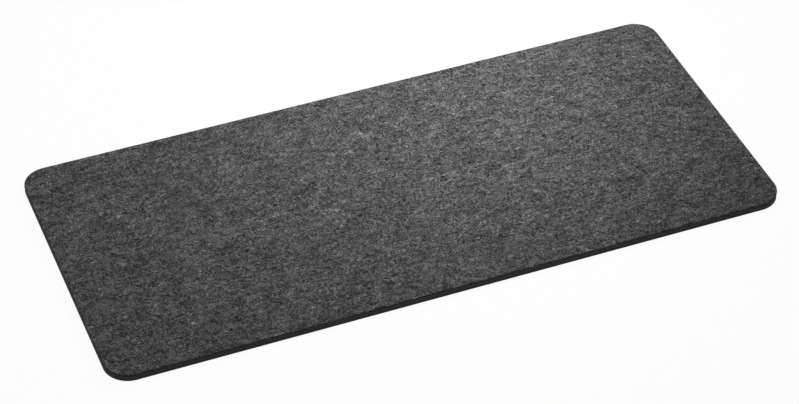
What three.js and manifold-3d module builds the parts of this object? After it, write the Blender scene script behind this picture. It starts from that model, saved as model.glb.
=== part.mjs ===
// A felt desk pad: a needle-felt face sheet, a foam core and a rubber grip underlay, bonded into one flat laminate
// and die-cut together with rounded corners. Sizes are millimetres. X runs along the pad's length, Y from the
// user's edge to the back edge and Z up, with the origin at the centre of the face that the pad rests on.
import * as THREE from "three";
import { mergeVertices } from "three/addons/utils/BufferGeometryUtils.js";
import Module from "manifold-3d";

// Driving dimensions of the outline that every layer is cut to
const padLength = 660;
const padDepth = 300;
const cornerRadius = 24;

// Driving dimensions of the layers, from the top down
const feltThickness = 2;
const feltEdgeRound = 0.8; // the cutting knife presses the felt's upper edge round
const bondFilmThickness = 0.2;
const coreThickness = 4.1;
const coreEdgeDish = 0.3; // foam springs back from the knife and leaves a slightly hollow edge
const underlayThickness = 0.8;
const underlayEdgeRound = 0.15;

// Driving dimensions of the grip studs moulded under the underlay
const studHeight = 0.2;
const studBaseDiameter = 7;
const studFootDiameter = 5;
const studPitch = 30; // the spacing that rows and columns come closest to
const studEdgeMargin = 22; // from the pad's edge to the centres of the outermost studs
const studRoot = underlayThickness / 2; // how far a stud's body reaches up into the sheet that carries it

// Fineness of the round stretches
const cornerSteps = 12;
const roundSteps = 4;
const dishSteps = 6;
const studSides = 8;

// Heights at which the layers meet, stacked up from the resting face
const underlayBottom = studHeight;
const underlayTop = underlayBottom + underlayThickness;
const coreBottom = underlayTop + bondFilmThickness;
const coreTop = coreBottom + coreThickness;
const feltBottom = coreTop + bondFilmThickness;
const feltTop = feltBottom + feltThickness;

const wasm = await Module();
wasm.setup();

// The die's outline, drawn in by an inset all round, as points that run anticlockwise.
function outlinePoints(inset) {
  const radius = cornerRadius - inset;
  const x = padLength / 2 - cornerRadius;
  const y = padDepth / 2 - cornerRadius;
  const corners = [
    [x, y],
    [-x, y],
    [-x, -y],
    [x, -y],
  ];
  const outline = new THREE.Shape();
  corners.forEach(([cx, cy], quarter) => {
    const start = (quarter * Math.PI) / 2;
    outline.absarc(cx, cy, radius, start, start + Math.PI / 2, false);
  });
  return outline.getPoints(cornerSteps / 2);
}

// A closed sheet lofted through copies of the outline. The edge profile lists [inset, height] from the bottom up.
function loftSheet(edgeProfile) {
  const rings = edgeProfile.map(([inset, height]) => ({ points: outlinePoints(inset), height }));
  const ringSize = rings[0].points.length;
  const positions = rings.flatMap(({ points, height }) => points.flatMap((p) => [p.x, p.y, height]));
  const faces = [];
  for (let ring = 0; ring + 1 < rings.length; ring++) {
    for (let i = 0; i < ringSize; i++) {
      const next = (i + 1) % ringSize;
      const [a, b] = [ring * ringSize + i, ring * ringSize + next];
      const [c, d] = [a + ringSize, b + ringSize];
      faces.push(a, b, d, a, d, c);
    }
  }
  const topRing = (rings.length - 1) * ringSize;
  for (const [a, b, c] of THREE.ShapeUtils.triangulateShape(rings[0].points, [])) {
    faces.push(a, c, b);
  }
  for (const [a, b, c] of THREE.ShapeUtils.triangulateShape(rings.at(-1).points, [])) {
    faces.push(topRing + a, topRing + b, topRing + c);
  }
  const sheet = new THREE.BufferGeometry();
  sheet.setAttribute("position", new THREE.Float32BufferAttribute(positions, 3));
  sheet.setIndex(faces);
  return sheet;
}

// A square-cut edge between two heights.
const squareEdge = (bottom, top) => [
  [0, bottom],
  [0, top],
];

// A quarter-round edge that ends in the flat face at endHeight. direction is 1 for an upper edge, -1 for a lower one.
function quarterRound(radius, endHeight, direction) {
  return Array.from({ length: roundSteps + 1 }, (_, step) => {
    const turn = (step / roundSteps) * (Math.PI / 2);
    return [radius * (1 - Math.cos(turn)), endHeight - direction * radius * (1 - Math.sin(turn))];
  });
}

// A hollow edge that is deepest half way up.
function dishedEdge(depth, bottom, top) {
  return Array.from({ length: dishSteps + 1 }, (_, step) => {
    const share = step / dishSteps;
    return [depth * Math.sin(share * Math.PI), bottom + share * (top - bottom)];
  });
}

// Places of the studs: staggered rows that fill the pad out to the margin, alike on every side.
function studPlaces() {
  const width = padLength - 2 * studEdgeMargin;
  const depth = padDepth - 2 * studEdgeMargin;
  const columnGaps = Math.max(1, Math.round(width / studPitch));
  const rowGaps = 2 * Math.max(1, Math.round(depth / (2 * studPitch)));
  const columnPitch = width / columnGaps;
  const rowPitch = depth / rowGaps;
  const places = [];
  for (let row = 0; row <= rowGaps; row++) {
    const shift = row % 2;
    for (let column = 0; column <= columnGaps - shift; column++) {
      const x = (column + shift / 2) * columnPitch - width / 2;
      places.push([x, row * rowPitch - depth / 2]);
    }
  }
  return places;
}

// One stud: a low cone with a flat foot, rooted in the sheet above it.
function studGeometry() {
  const profile = [
    [0, 0],
    [studFootDiameter / 2, 0],
    [studBaseDiameter / 2, underlayBottom],
    [studBaseDiameter / 2, underlayBottom + studRoot],
    [0, underlayBottom + studRoot],
  ].map(([radius, height]) => new THREE.Vector2(radius, height));
  return new THREE.LatheGeometry(profile, studSides).rotateX(Math.PI / 2);
}

function toManifold(geometry) {
  const bare = geometry.clone();
  bare.deleteAttribute("normal");
  bare.deleteAttribute("uv");
  const merged = mergeVertices(bare);
  const vertProperties = new Float32Array(merged.attributes.position.array);
  const triVerts = new Uint32Array(merged.index.array);
  return new wasm.Manifold(new wasm.Mesh({ numProp: 3, vertProperties, triVerts }));
}

function fromManifold(solid) {
  const mesh = solid.getMesh();
  const geometry = new THREE.BufferGeometry();
  geometry.setAttribute("position", new THREE.BufferAttribute(mesh.vertProperties, 3));
  geometry.setIndex(new THREE.BufferAttribute(mesh.triVerts, 1));
  return geometry;
}

// The grip underlay is moulded in one piece: the sheet joined with all its studs.
function underlayGeometry() {
  const edge = [
    ...quarterRound(underlayEdgeRound, underlayBottom, -1).reverse(),
    [0, underlayTop],
  ];
  const sheet = toManifold(loftSheet(edge));
  const stud = studGeometry();
  const joined = studPlaces().reduce(
    (body, [x, y]) => body.add(toManifold(stud.clone().translate(x, y, 0))),
    sheet,
  );
  return fromManifold(joined);
}

// Finishes, as seen: a heathered dark grey felt over black layers
const felt = new THREE.MeshStandardMaterial({ color: 0x545454, roughness: 1, metalness: 0 });
const adhesive = new THREE.MeshStandardMaterial({ color: 0x1c1c1c, roughness: 0.6, metalness: 0 });
const foam = new THREE.MeshStandardMaterial({ color: 0x2c2c2c, roughness: 0.9, metalness: 0 });
const rubber = new THREE.MeshStandardMaterial({ color: 0x262626, roughness: 0.75, metalness: 0 });

function layer(name, geometry, material) {
  geometry.computeVertexNormals();
  const mesh = new THREE.Mesh(geometry, material);
  mesh.name = name;
  return mesh;
}

const feltEdge = [[0, feltBottom], ...quarterRound(feltEdgeRound, feltTop, 1)];

const deskPad = new THREE.Group();
deskPad.name = "felt_desk_pad";
deskPad.add(
  layer("felt_face_sheet", loftSheet(feltEdge), felt),
  layer("upper_bond_film", loftSheet(squareEdge(coreTop, feltBottom)), adhesive),
  layer("foam_core", loftSheet(dishedEdge(coreEdgeDish, coreBottom, coreTop)), foam),
  layer("lower_bond_film", loftSheet(squareEdge(underlayTop, coreBottom)), adhesive),
  layer("grip_underlay", underlayGeometry(), rubber),
);

export default deskPad;
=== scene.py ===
# %% [markdown]
# A felt desk pad is a flat laminate: a needle-felt face, a bonding film, a foam core, a second film and
# a rubber underlay with low grip studs. The CAD frame gives every layer its place and its thickness.
# Its plain solids could be coloured, but their edges and faces are too even for felt, foam and rubber.
# So this lesson dresses the frame: it models each layer again with finer edges and surfaces, gives it a
# finish made of nodes, and lights the pad on a pale floor.

# %% Load the frame
import math
import random

import bmesh
import bpy
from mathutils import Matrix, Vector, noise


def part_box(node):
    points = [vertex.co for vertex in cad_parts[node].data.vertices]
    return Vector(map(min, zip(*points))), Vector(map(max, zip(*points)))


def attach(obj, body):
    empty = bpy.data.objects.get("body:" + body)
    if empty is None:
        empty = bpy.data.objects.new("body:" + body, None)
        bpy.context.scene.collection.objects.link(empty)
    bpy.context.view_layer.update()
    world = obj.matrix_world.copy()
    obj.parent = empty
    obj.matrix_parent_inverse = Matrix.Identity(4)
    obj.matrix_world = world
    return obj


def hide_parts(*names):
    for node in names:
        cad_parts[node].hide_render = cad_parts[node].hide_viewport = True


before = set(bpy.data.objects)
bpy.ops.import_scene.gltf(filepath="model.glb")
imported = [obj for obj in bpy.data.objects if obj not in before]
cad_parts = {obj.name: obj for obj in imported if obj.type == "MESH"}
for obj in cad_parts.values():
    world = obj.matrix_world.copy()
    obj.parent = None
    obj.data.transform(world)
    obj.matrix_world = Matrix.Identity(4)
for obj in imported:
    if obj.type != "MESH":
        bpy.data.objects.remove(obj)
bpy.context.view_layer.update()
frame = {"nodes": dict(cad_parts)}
print("layers in the frame:", ", ".join(frame["nodes"]))

# %% [markdown]
# A product picture of a flat pad is taken from a little to the left, looking down, through a long lens
# that keeps the edges nearly parallel. The camera could be dragged into place by eye. Here two angles
# and a distance place it round the point that it looks at, because each of them can be read and changed
# by itself.

# %% Camera
CAMERA_AZIMUTH = math.radians(-21.65)
CAMERA_ELEVATION = math.radians(40.81)
CAMERA_DISTANCE = 2.4512
CAMERA_TARGET = Vector((-0.00607, -0.01354, 0.0))
CAMERA_LENS = 117.39
SENSOR_WIDTH = 36.0


def add_object(name, data):
    """A new object at the origin, linked to the scene."""
    made = bpy.data.objects.new(name, data)
    bpy.context.scene.collection.objects.link(made)
    return made


def facing(direction):
    """The turn that points a camera or a lamp along a direction."""
    return direction.to_track_quat("-Z", "Y").to_euler()


def make_camera():
    """The camera, turned to its target."""
    data = bpy.data.cameras.new("camera")
    data.lens = CAMERA_LENS
    data.sensor_width = SENSOR_WIDTH
    level = math.cos(CAMERA_ELEVATION)
    back = Vector((
        math.sin(CAMERA_AZIMUTH) * level,
        -math.cos(CAMERA_AZIMUTH) * level,
        math.sin(CAMERA_ELEVATION),
    ))
    camera = add_object("camera", data)
    camera.location = CAMERA_TARGET + back * CAMERA_DISTANCE
    camera.rotation_euler = facing(-back)
    return camera


bpy.context.scene.camera = make_camera()
print("camera at", tuple(round(v, 3) for v in bpy.context.scene.camera.location))

# %% [markdown]
# Every layer is cut by the same die, so all of them follow one outline, a rectangle with rounded
# corners. It could be drawn as a curve and filled for each layer. Here it is a rule instead: any point
# of it lies one corner radius away from an inner rectangle, which joins the centres of the corners. A
# point that slides along the line from the nearest point of that rectangle moves in or out square to
# the edge, so one small helper can give an edge any profile.

# %% The shared outline
MM = 0.001
CORNER_RADIUS = 24 * MM

felt_low, felt_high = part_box("felt_face_sheet")
HALF_LENGTH = felt_high.x
HALF_DEPTH = felt_high.y
CORNER_X = HALF_LENGTH - CORNER_RADIUS
CORNER_Y = HALF_DEPTH - CORNER_RADIUS


def from_inner_rectangle(x, y):
    """The nearest point of the inner rectangle, and the direction from it to (x, y)."""
    inner = Vector((max(-CORNER_X, min(CORNER_X, x)), max(-CORNER_Y, min(CORNER_Y, y))))
    return inner, (Vector((x, y)) - inner).normalized()


def slide_to_outline(vert, inset, height):
    """Puts a rim vertex on the outline drawn in by inset, at a height."""
    inner, outward = from_inner_rectangle(vert.co.x, vert.co.y)
    rim = inner + outward * (CORNER_RADIUS - inset)
    vert.co = (rim.x, rim.y, height)


print("outline", round(2 * HALF_LENGTH / MM), "by", round(2 * HALF_DEPTH / MM), "mm")

# %% [markdown]
# The felt face is a mat of fibres two millimetres thick. It isn't quite flat: it rises and sinks by a
# few hundredths of a millimetre where the needles matted it more or less tightly. One large face with a
# bump texture could suggest that, but its edge would stay dead straight close up. So the sheet starts
# as a fine grid, and each vertex takes its height from a tight noise and a slow one. The grid's square
# corners are pulled in to the round outline by the rule that turns a square into a disc, which keeps
# every face four-sided.

# %% Felt grid
FELT_CELL = 2 * MM
FELT_EDGE_ROUND = 0.8 * MM
TIGHT_SIZE = 3.4 * MM
TIGHT_RELIEF = 0.036 * MM
SLOW_SIZE = 11 * MM
SLOW_RELIEF = 0.048 * MM
SLOW_SLICE = 0.1  # metres up, where the slow noise is unlike the tight one


def draw_in(coordinate, corner, inset):
    """A coordinate past a corner's centre, drawn in so that its side of the pad moves in by inset."""
    past = max(0.0, abs(coordinate) - corner)
    return coordinate - math.copysign(past * inset / CORNER_RADIUS, coordinate)


def round_the_corners(bm, inset):
    """Pulls the square corners of a grid in to the rounded outline."""
    radius = CORNER_RADIUS - inset
    for vert in bm.verts:
        u = (abs(vert.co.x) - CORNER_X) / radius
        v = (abs(vert.co.y) - CORNER_Y) / radius
        if u > 0 and v > 0:
            x = CORNER_X + radius * u * math.sqrt(1 - v * v / 2)
            y = CORNER_Y + radius * v * math.sqrt(1 - u * u / 2)
            vert.co.x = math.copysign(x, vert.co.x)
            vert.co.y = math.copysign(y, vert.co.y)


def start_grid(cell, height, inset=0.0):
    """A flat grid with rounded corners. cell divides the corner radius and the inner rectangle's sides."""
    bm = bmesh.new()
    columns = round(2 * HALF_LENGTH / cell)
    rows = round(2 * HALF_DEPTH / cell)
    bmesh.ops.create_grid(bm, x_segments=columns, y_segments=rows, size=1.0)
    for vert in bm.verts:
        x = draw_in(vert.co.x * HALF_LENGTH, CORNER_X, inset)
        y = draw_in(vert.co.y * HALF_DEPTH, CORNER_Y, inset)
        vert.co = (x, y, height)
    round_the_corners(bm, inset)
    return bm


def felt_relief(x, y):
    """How far the felt's surface stands above its mean height."""
    tight = noise.noise(Vector((x, y, 0.0)) / TIGHT_SIZE)
    slow = noise.noise(Vector((x, y, SLOW_SLICE)) / SLOW_SIZE)
    return TIGHT_RELIEF * tight + SLOW_RELIEF * slow


felt_sheet = start_grid(FELT_CELL, felt_high.z, FELT_EDGE_ROUND)
for vert in felt_sheet.verts:
    vert.co.z += felt_relief(vert.co.x, vert.co.y)
felt_heights = [vert.co.z for vert in felt_sheet.verts]
felt_swing = (max(felt_heights) - min(felt_heights)) / MM
print("felt grid:", len(felt_sheet.faces), "faces, with", round(felt_swing, 3), "mm of relief")

# %% [markdown]
# Each layer ends in an edge that the die cut: pressed round on the felt, hollow on the foam, drawn back
# a little on the films. Such an edge could be cut from a block with bevels or a boolean. Here the open
# rim of a grid is extruded ring by ring along a profile, a list of insets and heights, and the last
# ring is filled to close the body. So every layer needs only a profile of its own.

# %% Edge profiles
def rim_of(bm):
    """The edges that have a face on one side only."""
    return [edge for edge in bm.edges if edge.is_boundary]


def extrude_edges(bm, edges):
    """Extrudes edges, and returns the new vertices and the new edges that are still open."""
    made = bmesh.ops.extrude_edge_only(bm, edges=edges)["geom"]
    ring = [item for item in made if isinstance(item, bmesh.types.BMVert)]
    open_edges = [item for item in made if isinstance(item, bmesh.types.BMEdge) and item.is_boundary]
    return ring, open_edges


def extrude_rim(bm, profile):
    """Extrudes the open rim through rings of (inset, height), and returns the vertices of each ring."""
    rings = []
    edges = rim_of(bm)
    for inset, height in profile:
        ring, edges = extrude_edges(bm, edges)
        for vert in ring:
            slide_to_outline(vert, inset, height)
        rings.append(ring)
    return rings


def close_rim(bm):
    """Fills the ring that is still open, and returns the new faces."""
    return bmesh.ops.edgeloop_fill(bm, edges=rim_of(bm))["faces"]


def quarter_round(radius, steps):
    """The (inset, depth) of each step round an edge, from the flat face to the upright side."""
    turns = [math.pi / 2 * step / steps for step in range(1, steps + 1)]
    return [(radius * (1 - math.sin(turn)), radius * (1 - math.cos(turn))) for turn in turns]


print("open edges round the felt grid:", len(rim_of(felt_sheet)))

# %% [markdown]
# The die presses the felt as it cuts, so the upper edge is rounded, and the cut below it wavers. The
# rings could stay where they were extruded, but close up such an even edge looks like plastic. So every
# ring but the last is moved in or out by noise. The last one stays on the outline, where the felt meets
# the film. Part of the way down the round the faces change to a second finish, that of the pressed and
# cut edge, whose darker greys are partly the pressed fibres and partly painted shade.

# %% Felt edge
ROUND_STEPS = 5
CUT_STEPS = 3
CUT_WAVER = 0.12 * MM
CUT_WAVER_SIZE = 2.6 * MM
CUT_WAVER_DOWNWARD = 4  # the waver changes this much faster down the cut than along it
EDGE_FINISH_DEPTH = 0.45 * FELT_EDGE_ROUND


def felt_edge_profile():
    """The felt's edge from the face down: the pressed round, then the cut."""
    steps = quarter_round(FELT_EDGE_ROUND, ROUND_STEPS)
    rounded = [(inset, felt_high.z - depth) for inset, depth in steps]
    cut_height = felt_high.z - FELT_EDGE_ROUND - felt_low.z
    cut = [(0.0, felt_low.z + cut_height * step / CUT_STEPS) for step in reversed(range(CUT_STEPS))]
    return rounded + cut


def felt_stray(place):
    """How far the knife strayed from the outline in the felt."""
    x, y, z = place
    return CUT_WAVER * noise.noise(Vector((x, y, CUT_WAVER_DOWNWARD * z)) / CUT_WAVER_SIZE)


def waver_cut(rings, stray):
    """Moves every ring but the last in or out, square to the edge, by the stray at each vertex."""
    for ring in rings[:-1]:
        for vert in ring:
            outward = from_inner_rectangle(vert.co.x, vert.co.y)[1]
            distance = stray(vert.co)
            vert.co.x += outward.x * distance
            vert.co.y += outward.y * distance


felt_rings = extrude_rim(felt_sheet, felt_edge_profile())
felt_glued_side = close_rim(felt_sheet)
waver_cut(felt_rings, felt_stray)
# faces below the start of the edge finish get its darker greys, partly painted shade
for face in felt_sheet.faces:
    face.material_index = int(face.calc_center_median().z < felt_high.z - EDGE_FINISH_DEPTH)
print("felt edge:", len(felt_rings), "rings of", len(felt_rings[0]), "vertices")

# %% [markdown]
# A finish can be baked into a picture, and a UV map says which part of the picture each face gets.
# Blender can unfold a mesh by itself, but on a thin sheet that gives as much room to the glued side,
# which nobody sees, as to the face. So the map is laid out by a rule: the side that shows fills the
# square, its edge is folded out flat round it, and the glued side is shrunk into a corner.

# %% Unfold the felt
BAKE_MAP = "OFBake"
HIDDEN_SHARE = 0.008  # how small the hidden side is drawn, against the side that shows


def unfold_sheet(bm, flat_height, hidden_faces):
    """A UV map in which the side at flat_height fills the square, with its edge folded out round it."""
    reach = max(abs(vert.co.z - flat_height) for vert in bm.verts)
    half_width = HALF_LENGTH + reach
    half_height = HALF_DEPTH + reach
    hidden = set(hidden_faces)
    layer = bm.loops.layers.uv.new(BAKE_MAP)
    for face in bm.faces:
        for loop in face.loops:
            x, y, z = loop.vert.co
            if face in hidden:
                x = half_width - HIDDEN_SHARE * (x + HALF_LENGTH)
                y = half_height - HIDDEN_SHARE * (y + HALF_DEPTH)
            else:
                outward = from_inner_rectangle(x, y)[1]
                x += outward.x * abs(z - flat_height)
                y += outward.y * abs(z - flat_height)
            loop[layer].uv = (0.5 + x / half_width / 2, 0.5 + y / half_height / 2)


unfold_sheet(felt_sheet, felt_high.z, felt_glued_side)
print("felt unfolded, with", len(felt_glued_side), "hidden face")

# %% [markdown]
# The tone, the gloss and the fine relief of felt, foam and rubber change from millimetre to millimetre.
# They could be painted as a picture, but nodes work them out at any point. Most lines that build nodes
# say which node, which settings and which links, so a few helpers keep them short. What several
# finishes share becomes a node group, with named sockets for numbers and vectors.

# %% Helpers that add nodes
NUMBER = "NodeSocketFloat"
VECTOR = "NodeSocketVector"


def add_node(tree, kind, inputs=None, **settings):
    """Adds a node. inputs holds values, or other nodes' output sockets, by socket name or number."""
    node = tree.nodes.new(kind)
    for name, value in settings.items():
        setattr(node, name, value)
    for key, value in (inputs or {}).items():
        if isinstance(value, bpy.types.NodeSocket):
            tree.links.new(value, node.inputs[key])
        else:
            node.inputs[key].default_value = value
    return node


def calculate(tree, operation, *values):
    """The output of a Math node."""
    return add_node(tree, "ShaderNodeMath", dict(enumerate(values)), operation=operation).outputs[0]


def calculate_vector(tree, operation, *vectors):
    """The output of a Vector Math node."""
    return add_node(tree, "ShaderNodeVectorMath", dict(enumerate(vectors)), operation=operation).outputs[0]


def scale_vector(tree, vector, factor):
    """A vector made longer or shorter."""
    inputs = {0: vector, "Scale": factor}
    return add_node(tree, "ShaderNodeVectorMath", inputs, operation="SCALE").outputs[0]


def noise_field(tree, place, size, detail=2.0):
    """Soft noise from 0 to 1 whose blotches are about size millimetres."""
    inputs = {"Vector": place, "Scale": 1 / size, "Detail": detail}
    return add_node(tree, "ShaderNodeTexNoise", inputs).outputs[0]


def new_group(name, inputs, outputs):
    """An empty node group with the named sockets, and its two end nodes."""
    group = bpy.data.node_groups.new(name, "ShaderNodeTree")
    for direction, sockets in (("INPUT", inputs), ("OUTPUT", outputs)):
        for socket_name, kind in sockets.items():
            group.interface.new_socket(socket_name, in_out=direction, socket_type=kind)
    return group, group.nodes.new("NodeGroupInput"), group.nodes.new("NodeGroupOutput")


print("the sockets of a group are", NUMBER, "or", VECTOR)

# %% [markdown]
# Felt is a mat of crimped fibres that lie in all directions. A picture of felt could be wrapped over
# the pad, but it would repeat itself and blur close up. Noise has no end: drawn out long and thin in
# one direction, it looks like fibres that lie that way. It is a node group, because the mat needs many
# such fields, each with its own length, width, angle and seed.

# %% A field of fibres
SEED_STEP = (7.3, 3.1, 5.7)  # how far each seed moves the noise


def make_fibre_field():
    """Noise drawn out along one direction. Length and Width are in millimetres."""
    inputs = {"Place": VECTOR, "Length": NUMBER, "Width": NUMBER, "Angle": NUMBER, "Seed": NUMBER}
    group, given, result = new_group("fibre_field", inputs, {"Field": NUMBER})
    turn = {"Vector": given.outputs["Place"], "Angle": given.outputs["Angle"]}
    turned = add_node(group, "ShaderNodeVectorRotate", turn, rotation_type="Z_AXIS").outputs[0]
    along = calculate(group, "DIVIDE", 1.0, given.outputs["Length"])
    across = calculate(group, "DIVIDE", 1.0, given.outputs["Width"])
    stretch = add_node(group, "ShaderNodeCombineXYZ", {0: along, 1: across, 2: across}).outputs[0]
    drawn = calculate_vector(group, "MULTIPLY", turned, stretch)
    moved = calculate_vector(group, "ADD", drawn, scale_vector(group, SEED_STEP, given.outputs["Seed"]))
    group.links.new(noise_field(group, moved, size=1.0, detail=1.0), result.inputs["Field"])
    return group


fibre_field = make_fibre_field()
print("fibre field:", len(fibre_field.nodes), "nodes")

# %% [markdown]
# In the real mat fibres cross at every angle, and crimp bends each of them. One field of straight
# fibres would look like brushed metal. So five fields are laid across each other, and the strongest one
# shows at each point, as the uppermost fibre does. All are read at places that a slow noise has pushed
# about, so that no fibre is straight. The web is laid along the pad before it is needled, which leaves
# soft streaks that way: noise again, drawn out a little.

# %% Crossed and bent fibres
FIBRE_ANGLES = [math.radians(angle) for angle in (-70, -35, 0, 35, 70)]
BEND_SIZE = 6.25
BEND_REACH = 9.0


def use_group(tree, group, inputs):
    """Adds a node group. inputs holds values or output sockets by socket name."""
    return add_node(tree, "ShaderNodeGroup", inputs, node_tree=group)


def strongest_fibres(tree, place, length, width, off_angle, first_seed):
    """The highest of several fibre fields, which lie to both sides of the pad's length."""
    fields = []
    for step, angle in enumerate(FIBRE_ANGLES):
        shape = {"Length": length, "Width": width, "Angle": angle + off_angle, "Seed": first_seed + step}
        fields.append(use_group(tree, fibre_field, {"Place": place, **shape}).outputs["Field"])
    strongest = fields[0]
    for field in fields[1:]:
        strongest = calculate(tree, "MAXIMUM", strongest, field)
    return strongest


def bend_place(tree, place):
    """A place pushed about by slow noise."""
    inputs = {"Vector": place, "Scale": 1 / BEND_SIZE, "Detail": 1.0}
    bend = add_node(tree, "ShaderNodeTexNoise", inputs).outputs["Color"]
    centred = calculate_vector(tree, "SUBTRACT", bend, (0.5, 0.5, 0.5))
    return calculate_vector(tree, "ADD", place, scale_vector(tree, centred, BEND_REACH))


def drawn_noise(tree, place, length, width, detail):
    """Soft noise whose blotches are drawn out along the pad, with sizes in millimetres."""
    drawn = calculate_vector(tree, "MULTIPLY", place, (width / length, 1.0, 1.0))
    return noise_field(tree, drawn, width, detail)


print("fibres cross at", [round(math.degrees(angle)) for angle in FIBRE_ANGLES], "degrees")

# %% [markdown]
# Some of the fibres are dyed dark and some light, and together they give the heather of greys. They
# could be coloured one by one, but from the camera only tufts can be told apart. So light tufts add to
# the tone, dark tufts take away from it, fine fibres lie over both, and streaks and slow clouds lie
# under them. The sum is centred on its mean, so that the contrast can be set without a change of tone,
# and a power makes bright tufts rarer than dark ones.

# %% Heather of fibres
LIGHT_TUFTS = {"length": 9.0, "width": 1.2, "off_angle": 0.1, "first_seed": 1.0}
DARK_TUFTS = {"length": 9.0, "width": 1.8, "off_angle": -0.1, "first_seed": 21.0}
FINE_FIBRES = {"length": 3.0, "width": 0.4, "off_angle": 0.0, "first_seed": 41.0}
CLOUDS = {"length": 16.0, "width": 13.0, "detail": 2.0}
STREAKS = {"length": 16.0, "width": 4.0, "detail": 1.0}
LIGHT_SHARE = 2.0
DARK_SHARE = -1.3
FINE_SHARE = 0.8
CLOUD_SHARE = 0.31
STREAK_SHARE = 0.32
MEAN_OF_SHARES = 1.305
EVEN_TONE = 0.335
TONE_POWER = 1.75
FINE_HEIGHT = 0.6


def make_heather():
    """The felt's tone and height, from tufts, fine fibres, streaks and clouds."""
    inputs = {"Place": VECTOR, "Contrast": NUMBER}
    group, given, result = new_group("felt_heather", inputs, {"Tone": NUMBER, "Height": NUMBER})
    place = given.outputs["Place"]
    bent = bend_place(group, place)
    light = strongest_fibres(group, bent, **LIGHT_TUFTS)
    dark = strongest_fibres(group, bent, **DARK_TUFTS)
    fine = strongest_fibres(group, bent, **FINE_FIBRES)
    clouds = drawn_noise(group, place, **CLOUDS)
    streaks = drawn_noise(group, place, **STREAKS)
    total = calculate(group, "MULTIPLY", light, LIGHT_SHARE)
    others = [(dark, DARK_SHARE), (fine, FINE_SHARE), (clouds, CLOUD_SHARE), (streaks, STREAK_SHARE)]
    for part, share in others:
        total = calculate(group, "MULTIPLY_ADD", part, share, total)
    centred = calculate(group, "SUBTRACT", total, MEAN_OF_SHARES)
    even = calculate(group, "MULTIPLY_ADD", centred, given.outputs["Contrast"], EVEN_TONE)
    tone = calculate(group, "POWER", calculate(group, "MAXIMUM", even, 0.0), TONE_POWER)
    height = calculate(group, "MULTIPLY_ADD", fine, FINE_HEIGHT, light)
    group.links.new(tone, result.inputs["Tone"])
    group.links.new(height, result.inputs["Height"])
    return group


felt_heather = make_heather()
print("heather group:", len(felt_heather.nodes), "nodes")

# %% [markdown]
# All the surfaces of the pad are dull and dark, and none of them is quite even. Each could be one flat
# colour, but then felt, foam and rubber would look alike. So a finish blends two greys by some pattern,
# takes its roughness from a pattern too, and may raise the surface with a bump. Every pattern reads
# Object coordinates in millimetres, so that sizes are real and it stays put on its piece.

# %% Helpers that build a finish
def millimetres(tree):
    """Object coordinates in millimetres."""
    return scale_vector(tree, add_node(tree, "ShaderNodeTexCoord").outputs["Object"], 1 / MM)


def remap(tree, value, from_low, from_high, to_low, to_high):
    """A value moved from one range to another, and held inside it."""
    inputs = {0: value, 1: from_low, 2: from_high, 3: to_low, 4: to_high}
    return add_node(tree, "ShaderNodeMapRange", inputs).outputs[0]


def grey(level):
    """A colour with no hue."""
    return (level, level, level, 1.0)


def new_material(name, plain_values):
    """A material, its tree and its Principled shader, with plain values set on its own sockets."""
    material = bpy.data.materials.new(name)
    material.use_nodes = True
    shader = material.node_tree.nodes["Principled BSDF"]
    for socket_name, value in plain_values.items():
        shader.inputs[socket_name].default_value = value
    return material, material.node_tree, shader


def feed_shader(tree, shader, tone, dark, light, roughness):
    """Links a grey, which the tone blends from a dark and a light one, and a roughness."""
    inputs = {0: tone, 6: grey(dark), 7: grey(light)}
    blend = add_node(tree, "ShaderNodeMix", inputs, data_type="RGBA")
    tree.links.new(blend.outputs[2], shader.inputs["Base Color"])
    tree.links.new(roughness, shader.inputs["Roughness"])


def raise_surface(tree, shader, height, depth_mm):
    """Feeds a height to the shader's normal. depth_mm is how far a height of 1 stands up."""
    bump = add_node(tree, "ShaderNodeBump", {"Height": height, "Distance": depth_mm * MM})
    tree.links.new(bump.outputs[0], shader.inputs["Normal"])


print("one unit of a finish is", MM, "metres")

# %% [markdown]
# The face and the cut edge are the same felt, but not the same surface. The face is open and fuzzy, so
# it has a little sheen and hardly any gloss. On the edge the die has pressed the fibres together, so
# they lie in flat layers, and its greys are darker, partly for the pressing and partly as painted shade
# on the upright cut. Each could have its own tree of nodes. One function makes both, because only a few
# values differ, such as the greys and the flatness that squeezes the heather into layers.

# %% Felt finishes
FELT_SHEEN = {"Specular IOR Level": 0.15, "Sheen Weight": 0.06, "Sheen Roughness": 0.5}
FELT_ROUGHNESS = (1.0, 0.85)


def make_felt_material(name, dark, light, contrast, bump_mm, flatness):
    """Heathered felt between two greys."""
    material, tree, shader = new_material(name, FELT_SHEEN)
    place = calculate_vector(tree, "MULTIPLY", millimetres(tree), (1.0, 1.0, flatness))
    heather = use_group(tree, felt_heather, {"Place": place, "Contrast": contrast})
    tone = heather.outputs["Tone"]
    roughness = remap(tree, tone, 0.0, 1.0, *FELT_ROUGHNESS)
    feed_shader(tree, shader, tone, dark, light, roughness)
    raise_surface(tree, shader, heather.outputs["Height"], bump_mm)
    return material


felt_finishes = [
    make_felt_material("felt_face", dark=0.010, light=0.560, contrast=0.88, bump_mm=0.35, flatness=1.0),
    # the cut edge's darker greys are partly pressed fibres and partly painted shade
    make_felt_material("felt_cut_edge_and_painted_shade", dark=0.012, light=0.170, contrast=1.0, bump_mm=0.25, flatness=3.0),
]
print("felt finishes:", [material.name for material in felt_finishes])

# %% [markdown]
# The felt's mesh and its finishes now become a piece of the pad. An object could just be left in the
# scene, but then nothing would tie it to the pad. So every piece is hung on the pad's one body as it is
# made, and the CAD layer that it takes the place of, if any, is hidden. Its faces are turned outwards
# and shaded smooth first, because the grid is fine enough to carry its own edges.

# %% Felt face sheet
def mesh_from(bm, name, materials):
    """A mesh with its finishes, made from a bmesh that is then freed."""
    mesh = bpy.data.meshes.new(name)
    bm.to_mesh(mesh)
    bm.free()
    for material in materials:
        mesh.materials.append(material)
    return mesh


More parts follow.
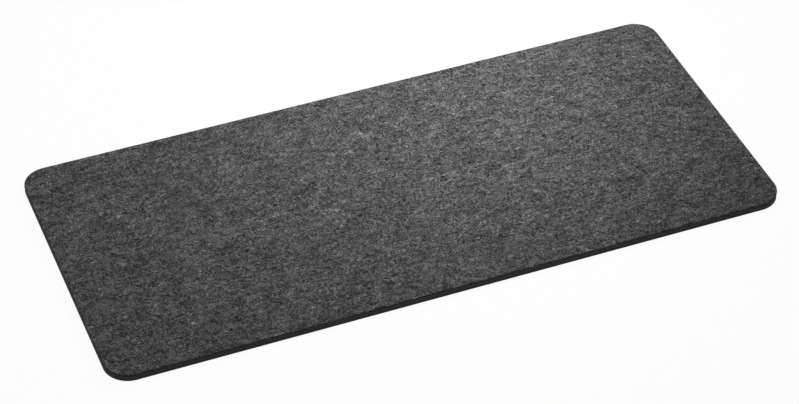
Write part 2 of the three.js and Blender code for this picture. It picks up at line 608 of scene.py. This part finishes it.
def finish_piece(bm, name, materials, node=None):
    """Makes a bmesh a piece with its finishes that rides on the pad, and hides the CAD node it replaces,
    if given.
    """
    bmesh.ops.recalc_face_normals(bm, faces=bm.faces)
    for face in bm.faces:
        face.smooth = True
    piece = add_object(name, mesh_from(bm, name, materials))
    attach(piece, "root")
    if node:
        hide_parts(node)
    print(name, len(piece.data.vertices), "vertices,", len(piece.data.polygons), "faces")
    return piece


felt = finish_piece(felt_sheet, "felt_face", felt_finishes, "felt_face_sheet")

# %% [markdown]
# The needles that mat the felt leave loose fibres lying on its face, and close up they are what makes
# it look like felt. A hair system could grow them, but hair is no mesh and would not be handed on with
# the piece. So each fibre is a bent path of a few points. Its ends sink into the mat while its middle
# lies on top, and most fibres run roughly along the pad. Each shade has its own seed, so the same
# fibres come every time.

# %% Paths of loose fibres
FIBRE_SHADES = {"light": 0.30, "mid": 0.13, "dark": 0.02}
FIBRES_PER_SHADE = 5200
FIBRE_LENGTHS = (4 * MM, 11 * MM)
FIBRE_SPREAD = 0.7  # radians to either side of the pad's length
FIBRE_CRIMP = 0.45  # radians from one stretch of a fibre to the next
FIBRE_POINTS = 5
FIBRE_SINK = 0.10 * MM
FIBRE_RISE = 0.16 * MM
FIBRE_MARGIN = 1.0 * MM


def inside_outline(point, inset):
    """Whether a point lies inside the outline drawn in by inset."""
    inner = from_inner_rectangle(point.x, point.y)[0]
    return (point.xy - inner).length < CORNER_RADIUS - inset


def fibre_path(chance):
    """The points of one fibre that lies on the face."""
    x = chance.uniform(-HALF_LENGTH, HALF_LENGTH)
    y = chance.uniform(-HALF_DEPTH, HALF_DEPTH)
    heading = chance.gauss(0.0, FIBRE_SPREAD)
    step_length = chance.uniform(*FIBRE_LENGTHS) / (FIBRE_POINTS - 1)
    path = []
    for step in range(FIBRE_POINTS):
        share = step / (FIBRE_POINTS - 1)
        height = felt_high.z + felt_relief(x, y) - FIBRE_SINK + FIBRE_RISE * math.sin(math.pi * share)
        path.append(Vector((x, y, height)))
        heading += chance.gauss(0.0, FIBRE_CRIMP)
        x += step_length * math.cos(heading)
        y += step_length * math.sin(heading)
    return path


def scatter_fibres(count, seed):
    """Paths of fibres that stay on the face."""
    chance = random.Random(seed)
    paths = []
    while len(paths) < count:
        path = fibre_path(chance)
        if all(inside_outline(point, FIBRE_MARGIN) for point in path):
            paths.append(path)
    return paths


fibre_paths = {shade: scatter_fibres(FIBRES_PER_SHADE, seed) for seed, shade in enumerate(FIBRE_SHADES)}
print("fibre paths:", {shade: len(paths) for shade, paths in fibre_paths.items()})

# %% [markdown]
# The fibres are dyed before they are matted, and the dye takes unevenly, so the tone and the gloss of a
# fibre drift along it. A fibre could have one flat grey, but then it would look like wire. So a slow
# noise moves its tone and its roughness together. The noise is a node group, because light, mid and
# dark fibres and those of the edge all use it, each with a grey of its own.

# %% Fibre finishes
FIBRE_GLOSS = {"Specular IOR Level": 0.15}
FIBRE_ROUGHNESS = (0.95, 0.8)
DYE_SIZE = 2.5
DYE_DRIFT = 0.45
NOISE_RANGE = (0.3, 0.7)  # soft noise seldom leaves it


def make_uneven_dye():
    """How far the dye has taken, from 0 to 1, as a slow noise."""
    group, given, result = new_group("uneven_dye", {"Place": VECTOR}, {"Dye": NUMBER})
    slow = noise_field(group, given.outputs["Place"], DYE_SIZE)
    group.links.new(remap(group, slow, *NOISE_RANGE, 0.0, 1.0), result.inputs["Dye"])
    return group


uneven_dye = make_uneven_dye()


def make_fibre_material(name, level):
    """A fibre's finish, about one level of grey."""
    material, tree, shader = new_material(name, FIBRE_GLOSS)
    dye = use_group(tree, uneven_dye, {"Place": millimetres(tree)}).outputs["Dye"]
    roughness = remap(tree, dye, 0.0, 1.0, *FIBRE_ROUGHNESS)
    feed_shader(tree, shader, dye, level * (1 - DYE_DRIFT), level * (1 + DYE_DRIFT), roughness)
    return material


fibre_finishes = {}
for shade, level in FIBRE_SHADES.items():
    fibre_finishes[shade] = make_fibre_material(f"{shade}_fibre", level)
print("fibre finishes:", [finish.name for finish in fibre_finishes.values()])

# %% [markdown]
# A fibre is a thin strand that tapers to both ends. A tube could be extruded along each path, ring by
# ring. A curve object does that for all the paths of one shade at once: it gives every path a thin
# section and closed ends, and is then turned into a mesh. Four sides are enough for a strand a sixth of
# a millimetre thick. Three shades make three pieces.

# %% Fibres of three shades
FIBRE_RADIUS = 0.08 * MM
STRAND_TAPER = 0.5
WELD_SHARE = 0.01


def draw_strands(name, paths, radius):
    """A curve with a thin section of four sides along every path."""
    curve = bpy.data.curves.new(name, "CURVE")
    curve.dimensions = "3D"
    curve.bevel_depth = radius
    curve.bevel_resolution = 0
    curve.use_fill_caps = True
    for path in paths:
        spline = curve.splines.new("POLY")
        spline.points.add(len(path) - 1)
        for point, place in zip(spline.points, path):
            point.co = (*place, 1.0)
        spline.points[0].radius = STRAND_TAPER
        spline.points[-1].radius = STRAND_TAPER
    return curve


def make_strands(name, paths, radius, finish):
    """One piece of many strands. The caps of a curve's tubes are loose, so they are welded on."""
    curve = draw_strands(name, paths, radius)
    drawn = add_object(name, curve)
    mesh = bpy.data.meshes.new_from_object(drawn.evaluated_get(bpy.context.evaluated_depsgraph_get()))
    bm = bmesh.new()
    bm.from_mesh(mesh)
    bmesh.ops.remove_doubles(bm, verts=bm.verts, dist=WELD_SHARE * radius)
    bpy.data.meshes.remove(mesh)
    bpy.data.objects.remove(drawn)
    bpy.data.curves.remove(curve)
    return finish_piece(bm, name, [finish])


for shade, paths in fibre_paths.items():
    make_strands(f"{shade}_fibres", paths, FIBRE_RADIUS, fibre_finishes[shade])

# %% [markdown]
# Along the pressed edge the cut leaves short ends of fibre standing, which soften the outline of the
# felt. A noisy bump could not do that, because a bump never changes an outline. So they are strands
# like the loose fibres, but thinner: each starts somewhere on the round, arches a little way off it and
# drifts along the edge.

# %% Edge fuzz
FUZZ_COUNT = 5000
FUZZ_LENGTHS = (0.8 * MM, 2.4 * MM)
FUZZ_LIFT = 0.22 * MM
FUZZ_ARCH = 2.4  # radians of a sine, from the root to the tip
FUZZ_CURL = 0.5  # radians round the edge, from the root to the tip
FUZZ_POINTS = 4
FUZZ_RADIUS = 0.05 * MM
FUZZ_SHADE = 0.06
FUZZ_SEED = len(FIBRE_SHADES)


def fuzz_start(chance):
    """A place on one of the four sides, before the corners are rounded."""
    along = chance.uniform(-1.0, 1.0)
    if chance.random() < HALF_LENGTH / (HALF_LENGTH + HALF_DEPTH):
        return along * HALF_LENGTH, math.copysign(HALF_DEPTH, chance.uniform(-1.0, 1.0))
    return math.copysign(HALF_LENGTH, chance.uniform(-1.0, 1.0)), along * HALF_DEPTH


def fuzz_path(chance):
    """The points of a short fibre that the cut left standing on the pressed edge."""
    inner, outward = from_inner_rectangle(*fuzz_start(chance))
    sideways = Vector((-outward.y, outward.x))
    length = chance.uniform(*FUZZ_LENGTHS)
    drift = length * chance.uniform(-1.0, 1.0)
    lean = math.pi / 2 * chance.random()
    path = []
    for step in range(FUZZ_POINTS):
        share = step / (FUZZ_POINTS - 1)
        turn = lean + FUZZ_CURL * share
        reach = FELT_EDGE_ROUND - FIBRE_SINK / 2 + FUZZ_LIFT * math.sin(FUZZ_ARCH * share)
        from_corner = CORNER_RADIUS - FELT_EDGE_ROUND + reach * math.cos(turn)
        flat = inner + outward * from_corner + sideways * drift * share
        path.append(Vector((flat.x, flat.y, felt_high.z - FELT_EDGE_ROUND + reach * math.sin(turn))))
    return path


fuzz_chance = random.Random(FUZZ_SEED)
fuzz_paths = [fuzz_path(fuzz_chance) for count in range(FUZZ_COUNT)]
fuzz_finish = make_fibre_material("edge_fibre", FUZZ_SHADE)
make_strands("edge_fuzz", fuzz_paths, FUZZ_RADIUS, fuzz_finish)

# %% [markdown]
# The core is black closed-cell foam, and the knife opens the cells that it passes through. Modelling
# each cell would take millions of faces for something half a millimetre across, so the cells are a
# Voronoi texture in the finish. The distance from the nearest cell's centre gives darker middles, which
# are painted shade in the opened hollows, and lighter walls, and it also makes the walls smoother and
# raises them as a bump.

# %% Foam finish
FOAM_GLOSS = {"Specular IOR Level": 0.2}
FOAM_ROUGHNESS = (0.95, 0.75)
FOAM_BUBBLE = 0.55
FOAM_BUBBLE_REACH = 0.7
FOAM_HOLLOW_SHADE_SHARE = 0.5
FOAM_BLOTCH = 3.0
FOAM_BLOTCH_SHARE = 0.7
FOAM_DARK = 0.016
FOAM_LIGHT = 0.050
FOAM_BUMP = 0.15


def make_foam_material():
    """Black foam with cells that the knife has opened, and painted shade in their hollows."""
    material, tree, shader = new_material("cut_foam", FOAM_GLOSS)
    place = millimetres(tree)
    inputs = {"Vector": place, "Scale": 1 / FOAM_BUBBLE}
    bubbles = add_node(tree, "ShaderNodeTexVoronoi", inputs).outputs["Distance"]
    # the hollow middles of the cells are darkened: painted shade
    hollow_shade_tone = calculate(tree, "MULTIPLY", bubbles, FOAM_HOLLOW_SHADE_SHARE)
    blotches = noise_field(tree, place, FOAM_BLOTCH)
    tone = calculate(tree, "MULTIPLY_ADD", blotches, FOAM_BLOTCH_SHARE, hollow_shade_tone)
    roughness = remap(tree, bubbles, 0.0, FOAM_BUBBLE_REACH, *FOAM_ROUGHNESS)
    feed_shader(tree, shader, tone, FOAM_DARK, FOAM_LIGHT, roughness)
    raise_surface(tree, shader, bubbles, FOAM_BUMP)
    return material


foam_finish = make_foam_material()
print("foam finish:", len(foam_finish.node_tree.nodes), "nodes")

# %% [markdown]
# Foam springs back from the knife, so the edge of the core is slightly hollow, deepest half way up, and
# the cut wavers a little. The hollow could be left to a bump, but a bump casts no shadow, and the dark
# line under the felt would be missing. So it is in the mesh: the same extruded rim as the felt's, with
# a sine for its profile.

# %% Foam core
FOAM_CELL = 2 * MM
FOAM_DISH = 0.3 * MM
FOAM_RINGS = 8
FOAM_WAVER = 0.06 * MM
FOAM_WAVER_SIZE = 1.9 * MM


def foam_edge_profile(low, high):
    """The foam's hollow edge from the top down."""
    shares = [step / FOAM_RINGS for step in range(1, FOAM_RINGS + 1)]
    return [(FOAM_DISH * math.sin(math.pi * share), high + (low - high) * share) for share in shares]


def foam_stray(place):
    """How far the knife strayed from the outline in the foam."""
    return FOAM_WAVER * noise.noise(place / FOAM_WAVER_SIZE)


def make_foam_core():
    """The foam as a closed body."""
    low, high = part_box("foam_core")
    bm = start_grid(FOAM_CELL, high.z)
    rings = extrude_rim(bm, foam_edge_profile(low.z, high.z))
    close_rim(bm)
    waver_cut(rings, foam_stray)
    return finish_piece(bm, "foam_layer", [foam_finish], "foam_core")


foam = make_foam_core()

# %% [markdown]
# Two films of hot-melt adhesive hold the layers together. Only their cut edge shows, as a line a fifth
# of a millimetre high. They could be left out, but then a thin gap would stay between the layers. So
# each film is a sheet like the others, whose edge has drawn back a little from the cut half way up. Its
# finish is dark and a little glossy, with a soft noise where the adhesive has flowed.

# %% Bond films
FILM_CELL = 6 * MM
FILM_DRAWN_BACK = 0.12 * MM
FILM_GLOSS = {"Specular IOR Level": 0.4}
FILM_ROUGHNESS = (0.4, 0.65)
FILM_FLOW = 2.0
FILM_DARK = 0.010
FILM_LIGHT = 0.028
FILM_BUMP = 0.03


def make_film_material():
    """Set adhesive that has flowed."""
    material, tree, shader = new_material("set_adhesive", FILM_GLOSS)
    flow = noise_field(tree, millimetres(tree), FILM_FLOW)
    roughness = remap(tree, flow, *NOISE_RANGE, *FILM_ROUGHNESS)
    feed_shader(tree, shader, flow, FILM_DARK, FILM_LIGHT, roughness)
    raise_surface(tree, shader, flow, FILM_BUMP)
    return material


def make_film(name, node, finish):
    """One film as a closed body."""
    low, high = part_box(node)
    bm = start_grid(FILM_CELL, high.z)
    extrude_rim(bm, [(FILM_DRAWN_BACK, (low.z + high.z) / 2), (0.0, low.z)])
    close_rim(bm)
    finish_piece(bm, name, [finish], node)


film_finish = make_film_material()
make_film("upper_film", "upper_bond_film", film_finish)
make_film("lower_film", "lower_bond_film", film_finish)

# %% [markdown]
# The underlay is black moulded rubber with a fine grain, and the mould has left a waffle on it, low
# pyramids about a millimetre and a half apart. They could be modelled, but there would be tens of
# thousands of them, a tenth of a millimetre high and too fine to change any outline. So a node group
# works out their height: two triangle waves run slantwise across each other, and the lower one counts.
# It adds the grain to that height, and makes the tone from the grain and from slow blotches.

# %% Moulded surface
WAFFLE_PITCH = 2.0
RUBBER_GRAIN = 0.7
RUBBER_BLOTCH = 24.0
RUBBER_DETAIL = 3.0
GRAIN_SHARE = 0.3
BLOTCH_SHARE = 0.7


def waffle_height(tree, place):
    """Low pyramids in slanting rows, from 0 to 1."""
    axes = add_node(tree, "ShaderNodeSeparateXYZ", {0: place}).outputs
    slants = [calculate(tree, kind, axes["X"], axes["Y"]) for kind in ("ADD", "SUBTRACT")]
    waves = [calculate(tree, "PINGPONG", slant, WAFFLE_PITCH / 2) for slant in slants]
    return calculate(tree, "DIVIDE", calculate(tree, "MINIMUM", *waves), WAFFLE_PITCH / 2)


def make_moulded_surface():
    """The rubber's tone, grain and height, from fine grain, slow blotches and the waffle."""
    outputs = {"Tone": NUMBER, "Grain": NUMBER, "Height": NUMBER}
    group, given, result = new_group("moulded_surface", {"Place": VECTOR}, outputs)
    place = given.outputs["Place"]
    grain = noise_field(group, place, RUBBER_GRAIN, RUBBER_DETAIL)
    blotches = noise_field(group, place, RUBBER_BLOTCH, RUBBER_DETAIL)
    fine = calculate(group, "MULTIPLY", grain, GRAIN_SHARE)
    tone = calculate(group, "MULTIPLY_ADD", blotches, BLOTCH_SHARE, fine)
    height = calculate(group, "ADD", fine, waffle_height(group, place))
    group.links.new(tone, result.inputs["Tone"])
    group.links.new(grain, result.inputs["Grain"])
    group.links.new(height, result.inputs["Height"])
    return group


moulded_surface = make_moulded_surface()
print("moulded surface:", len(moulded_surface.nodes), "nodes")

# %% [markdown]
# The sheet is matt, and the studs are smoother and a little glossy, because the mould is polished
# there. One finish could cover both, but then the studs would not stand out from the sheet. So one
# function makes two from the same group, with the waffle deep on the sheet and almost flat on the
# studs.

# %% Rubber finishes
RUBBER_GLOSS = {"Specular IOR Level": 0.35}
SMOOTH_SPOTS = 0.1  # how far the grain takes the roughness down
ROUGH_SPOTS = 0.15  # and how far up


def make_rubber_material(name, dark, light, roughness, waffle_mm):
    """Moulded rubber between two greys."""
    material, tree, shader = new_material(name, RUBBER_GLOSS)
    surface = use_group(tree, moulded_surface, {"Place": millimetres(tree)}).outputs
    roughness_range = (roughness - SMOOTH_SPOTS, roughness + ROUGH_SPOTS)
    uneven = remap(tree, surface["Grain"], *NOISE_RANGE, *roughness_range)
    feed_shader(tree, shader, surface["Tone"], dark, light, uneven)
    raise_surface(tree, shader, surface["Height"], waffle_mm)
    return material


rubber_finishes = [
    make_rubber_material("rubber_sheet", dark=0.014, light=0.042, roughness=0.7, waffle_mm=0.12),
    make_rubber_material("rubber_stud", dark=0.010, light=0.022, roughness=0.4, waffle_mm=0.01),
]
print("rubber finishes:", [material.name for material in rubber_finishes])

# %% [markdown]
# Low round studs under the pad keep it from sliding. They are moulded in one piece with the sheet, so
# they have to grow out of its faces. Cones could be joined to a sheet with a boolean, but that leaves
# long, thin faces. Here the sheet is a grid laid out for the studs, two columns wide and three rows
# deep for each of them, so that every stud of the staggered rows has a cell of its own.

# %% Stud grid
STUD_MARGIN = 22 * MM
STUD_PITCH = 30 * MM
STUD_HEIGHT = 0.2 * MM
CELLS_PER_ROW = 3

underlay_low, underlay_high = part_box("grip_underlay")
SHEET_BOTTOM = underlay_low.z + STUD_HEIGHT


def lay_stud_grid():
    """A flat grid at the bottom of the sheet, and those of its faces that get a stud."""
    length = 2 * (HALF_LENGTH - STUD_MARGIN)
    depth = 2 * (HALF_DEPTH - STUD_MARGIN)
    column_gaps = round(length / STUD_PITCH)
    row_gaps = 2 * round(depth / (2 * STUD_PITCH))
    cell_x = length / column_gaps / 2
    cell_y = depth / row_gaps / CELLS_PER_ROW
    columns = 2 * column_gaps + 1
    rows = CELLS_PER_ROW * (row_gaps + 1)
    bm = bmesh.new()
    bmesh.ops.create_grid(bm, x_segments=columns, y_segments=rows, size=1.0)
    bmesh.ops.scale(bm, vec=(columns * cell_x / 2, rows * cell_y / 2, 1.0), verts=bm.verts)
    bmesh.ops.translate(bm, vec=(0.0, 0.0, SHEET_BOTTOM), verts=bm.verts)
    chosen = []
    for face in bm.faces:
        centre = face.calc_center_median()
        column = round(centre.x / cell_x + column_gaps)
        row, step = divmod(round(centre.y / cell_y + (rows - 1) / 2), CELLS_PER_ROW)
        if step == CELLS_PER_ROW // 2 and column % 2 == row % 2:
            chosen.append(face)
    return bm, chosen


underlay_sheet, stud_cells = lay_stud_grid()
print("grip studs:", len(stud_cells), "in a grid of", len(underlay_sheet.faces), "cells")

# %% [markdown]
# A stud is a low cone with a flat foot, and its edges are slightly rounded, as rubber leaves a mould.
# It is made from its cell by operators alone: the cell is inset, its inner face is cut into sixteen
# sides and pushed out to a circle, the circle is extruded down and drawn in to the foot, and a small
# bevel rounds the edges. All the studs go through each operator together, which makes them alike.

# %% Grip studs
STUD_BASE_RADIUS = 3.5 * MM
STUD_FOOT_RADIUS = 2.5 * MM
STUD_FILLET = 0.06 * MM
STUD_SIDES = 16
STUD_INSET = 1.2 * MM


def edges_of(faces):
    """The edges round several faces that don't touch each other."""
    return [edge for face in faces for edge in face.edges]


def set_circle(face, centre, radius):
    """Moves the corners of a face, in order, to even places round a circle."""
    first = math.atan2(face.verts[0].co.y - centre.y, face.verts[0].co.x - centre.x)
    first = math.radians(45 + 90 * round((math.degrees(first) - 45) / 90))
    for step, vert in enumerate(face.verts):
        turn = first + 2 * math.pi * step / len(face.verts)
        vert.co = (centre.x + radius * math.cos(turn), centre.y + radius * math.sin(turn), centre.z)


def round_cells(bm, cells):
    """Insets the studs' cells and makes a circle of each inner face."""
    bmesh.ops.inset_individual(bm, faces=cells, thickness=STUD_INSET, use_even_offset=True)
    bmesh.ops.subdivide_edges(bm, edges=edges_of(cells), cuts=STUD_SIDES // 4 - 1)
    for face in cells:
        set_circle(face, face.calc_center_median(), STUD_BASE_RADIUS)


def raise_studs(bm, cells):
    """Extrudes the circles down to the feet, gives the studs their own finish and rounds their edges."""
    base_edges = edges_of(cells)
    feet = bmesh.ops.extrude_discrete_faces(bm, faces=cells)["faces"]
    for face in feet:
        centre = face.calc_center_median()
        centre.z = underlay_low.z
        set_circle(face, centre, STUD_FOOT_RADIUS)
        for edge in face.edges:
            for neighbour in edge.link_faces:
                neighbour.material_index = 1
    rounded = base_edges + edges_of(feet)
    bmesh.ops.bevel(
        bm, geom=rounded, offset=STUD_FILLET, affect="EDGES", segments=1, profile=0.5, material=-1
    )


round_cells(underlay_sheet, stud_cells)
raise_studs(underlay_sheet, stud_cells)
print("sheet and studs:", len(underlay_sheet.faces), "faces")

# %% [markdown]
# The sheet still has to reach the die's outline. Its border could be a frame of its own, but moulded
# rubber has no seam there. So the rim of the stud grid is extruded once more, cut finely enough to
# follow the corners, and slid out to the outline. Then it goes the way of the other layers: a small
# round, an upright cut, a filled top and a UV map, here with the underside as the side that shows.

# %% Underlay edge
BORDER_CUTS = 7
UNDERLAY_ROUND = 0.15 * MM
UNDERLAY_ROUND_STEPS = 4


def widen_to_outline(bm):
    """Adds a border that reaches from the stud grid to the start of the lower edge's round."""
    border = extrude_edges(bm, rim_of(bm))[1]
    bmesh.ops.subdivide_edges(bm, edges=border, cuts=BORDER_CUTS)
    for vert in {vert for edge in rim_of(bm) for vert in edge.verts}:
        slide_to_outline(vert, UNDERLAY_ROUND, SHEET_BOTTOM)


def underlay_edge_profile():
    """The underlay's edge from the bottom up: a small round, then the upright cut."""
    steps = quarter_round(UNDERLAY_ROUND, UNDERLAY_ROUND_STEPS)
    return [(inset, SHEET_BOTTOM + depth) for inset, depth in steps] + [(0.0, underlay_high.z)]


widen_to_outline(underlay_sheet)
extrude_rim(underlay_sheet, underlay_edge_profile())
unfold_sheet(underlay_sheet, SHEET_BOTTOM, close_rim(underlay_sheet))
finish_piece(underlay_sheet, "grip_layer", rubber_finishes, "grip_underlay")

# %% [markdown]
# A product portrait stands on a floor so pale that it reads as white. A white floor could be lit until
# it burns out, but then it would throw light on the pad's dark edge. So the floor shows itself to the
# camera mostly as an even glow and only partly as lit paint. That keeps it white without more light on
# the edge, and the lit part still carries the pad's soft shadow.

# %% Floor
FLOOR_SIZE = 12.0
FLOOR_GLOW = 0.955
FLOOR_LIT_SHARE = 0.04
FLOOR_PAINT = 0.85


def seen_directly(tree):
    """1 for rays that show the background: from the camera, or by way of a reflection or glass."""
    path = add_node(tree, "ShaderNodeLightPath")
    either = calculate(tree, "MAXIMUM", path.outputs["Is Camera Ray"], path.outputs["Is Glossy Ray"])
    return calculate(tree, "MAXIMUM", either, path.outputs["Is Transmission Ray"])


def make_floor_material():
    """Paint to the light, and a glow with a little paint to the camera."""
    material, tree, shader = new_material("floor_paint", {})
    tree.nodes.remove(shader)
    paint = add_node(tree, "ShaderNodeBsdfDiffuse", {"Color": grey(FLOOR_PAINT)}).outputs[0]
    shown_paint = add_node(tree, "ShaderNodeBsdfDiffuse", {"Color": grey(FLOOR_LIT_SHARE)}).outputs[0]
    glow = add_node(tree, "ShaderNodeEmission", {"Color": grey(1.0), "Strength": FLOOR_GLOW}).outputs[0]
    shown = add_node(tree, "ShaderNodeAddShader", {0: shown_paint, 1: glow}).outputs[0]
    either = {0: seen_directly(tree), 1: paint, 2: shown}
    surface = add_node(tree, "ShaderNodeMixShader", either).outputs[0]
    tree.links.new(surface, tree.nodes["Material Output"].inputs["Surface"])
    return material


def make_floor():
    """A large square under the pad, which is part of the stage and not of the pad."""
    bm = bmesh.new()
    bmesh.ops.create_grid(bm, x_segments=1, y_segments=1, size=FLOOR_SIZE / 2)
    floor = add_object("floor", mesh_from(bm, "floor", [make_floor_material()]))


make_floor()
print("floor", FLOOR_SIZE, "metres across")

# %% [markdown]
# The light of a studio comes from all round, softened by white walls. A picture of a studio could light
# the scene, but an even white world does it for a matt pad. Like the floor, the world is white to the
# camera and dimmer to the felt, so that the background and the light on the pad can be set apart.

# %% World
WORLD_LIGHT = 0.32
WORLD_SEEN = 0.96


def light_world():
    """An even white world, with one strength for light and one for what is seen of it."""
    world = bpy.data.worlds.new("studio")
    world.use_nodes = True
    tree = world.node_tree
    strength = remap(tree, seen_directly(tree), 0.0, 1.0, WORLD_LIGHT, WORLD_SEEN)
    background = tree.nodes["Background"]
    background.inputs["Color"].default_value = grey(1.0)
    tree.links.new(strength, background.inputs["Strength"])
    bpy.context.scene.world = world


light_world()
bpy.context.scene.view_settings.view_transform = "Standard"
print("world at", WORLD_LIGHT, "as light and", WORLD_SEEN, "as background")

# %% [markdown]
# One soft lamp over the right half of the pad makes the felt brightest towards the back right and lets
# it fall off to the front left. A sun would light it evenly and look dull. A square area lamp close to
# the pad falls off by itself, and it is turned past the pad so that only the edge of its light counts.

# %% Key lamp
KEY_PLACE = Vector((0.20, 0.136, 0.41))
KEY_AIM = Vector((-0.177, 0.31, 0.0))
KEY_SIDE = 0.30
KEY_POWER = 3.0


def make_key_lamp():
    """A square area lamp that the camera doesn't see."""
    data = bpy.data.lights.new("key", "AREA")
    data.shape = "SQUARE"
    data.size = KEY_SIDE
    data.energy = KEY_POWER
    lamp = add_object("key", data)
    lamp.location = KEY_PLACE
    lamp.rotation_euler = facing(KEY_AIM - KEY_PLACE)
    lamp.visible_camera = False


make_key_lamp()
print("key lamp of", KEY_POWER, "watts")
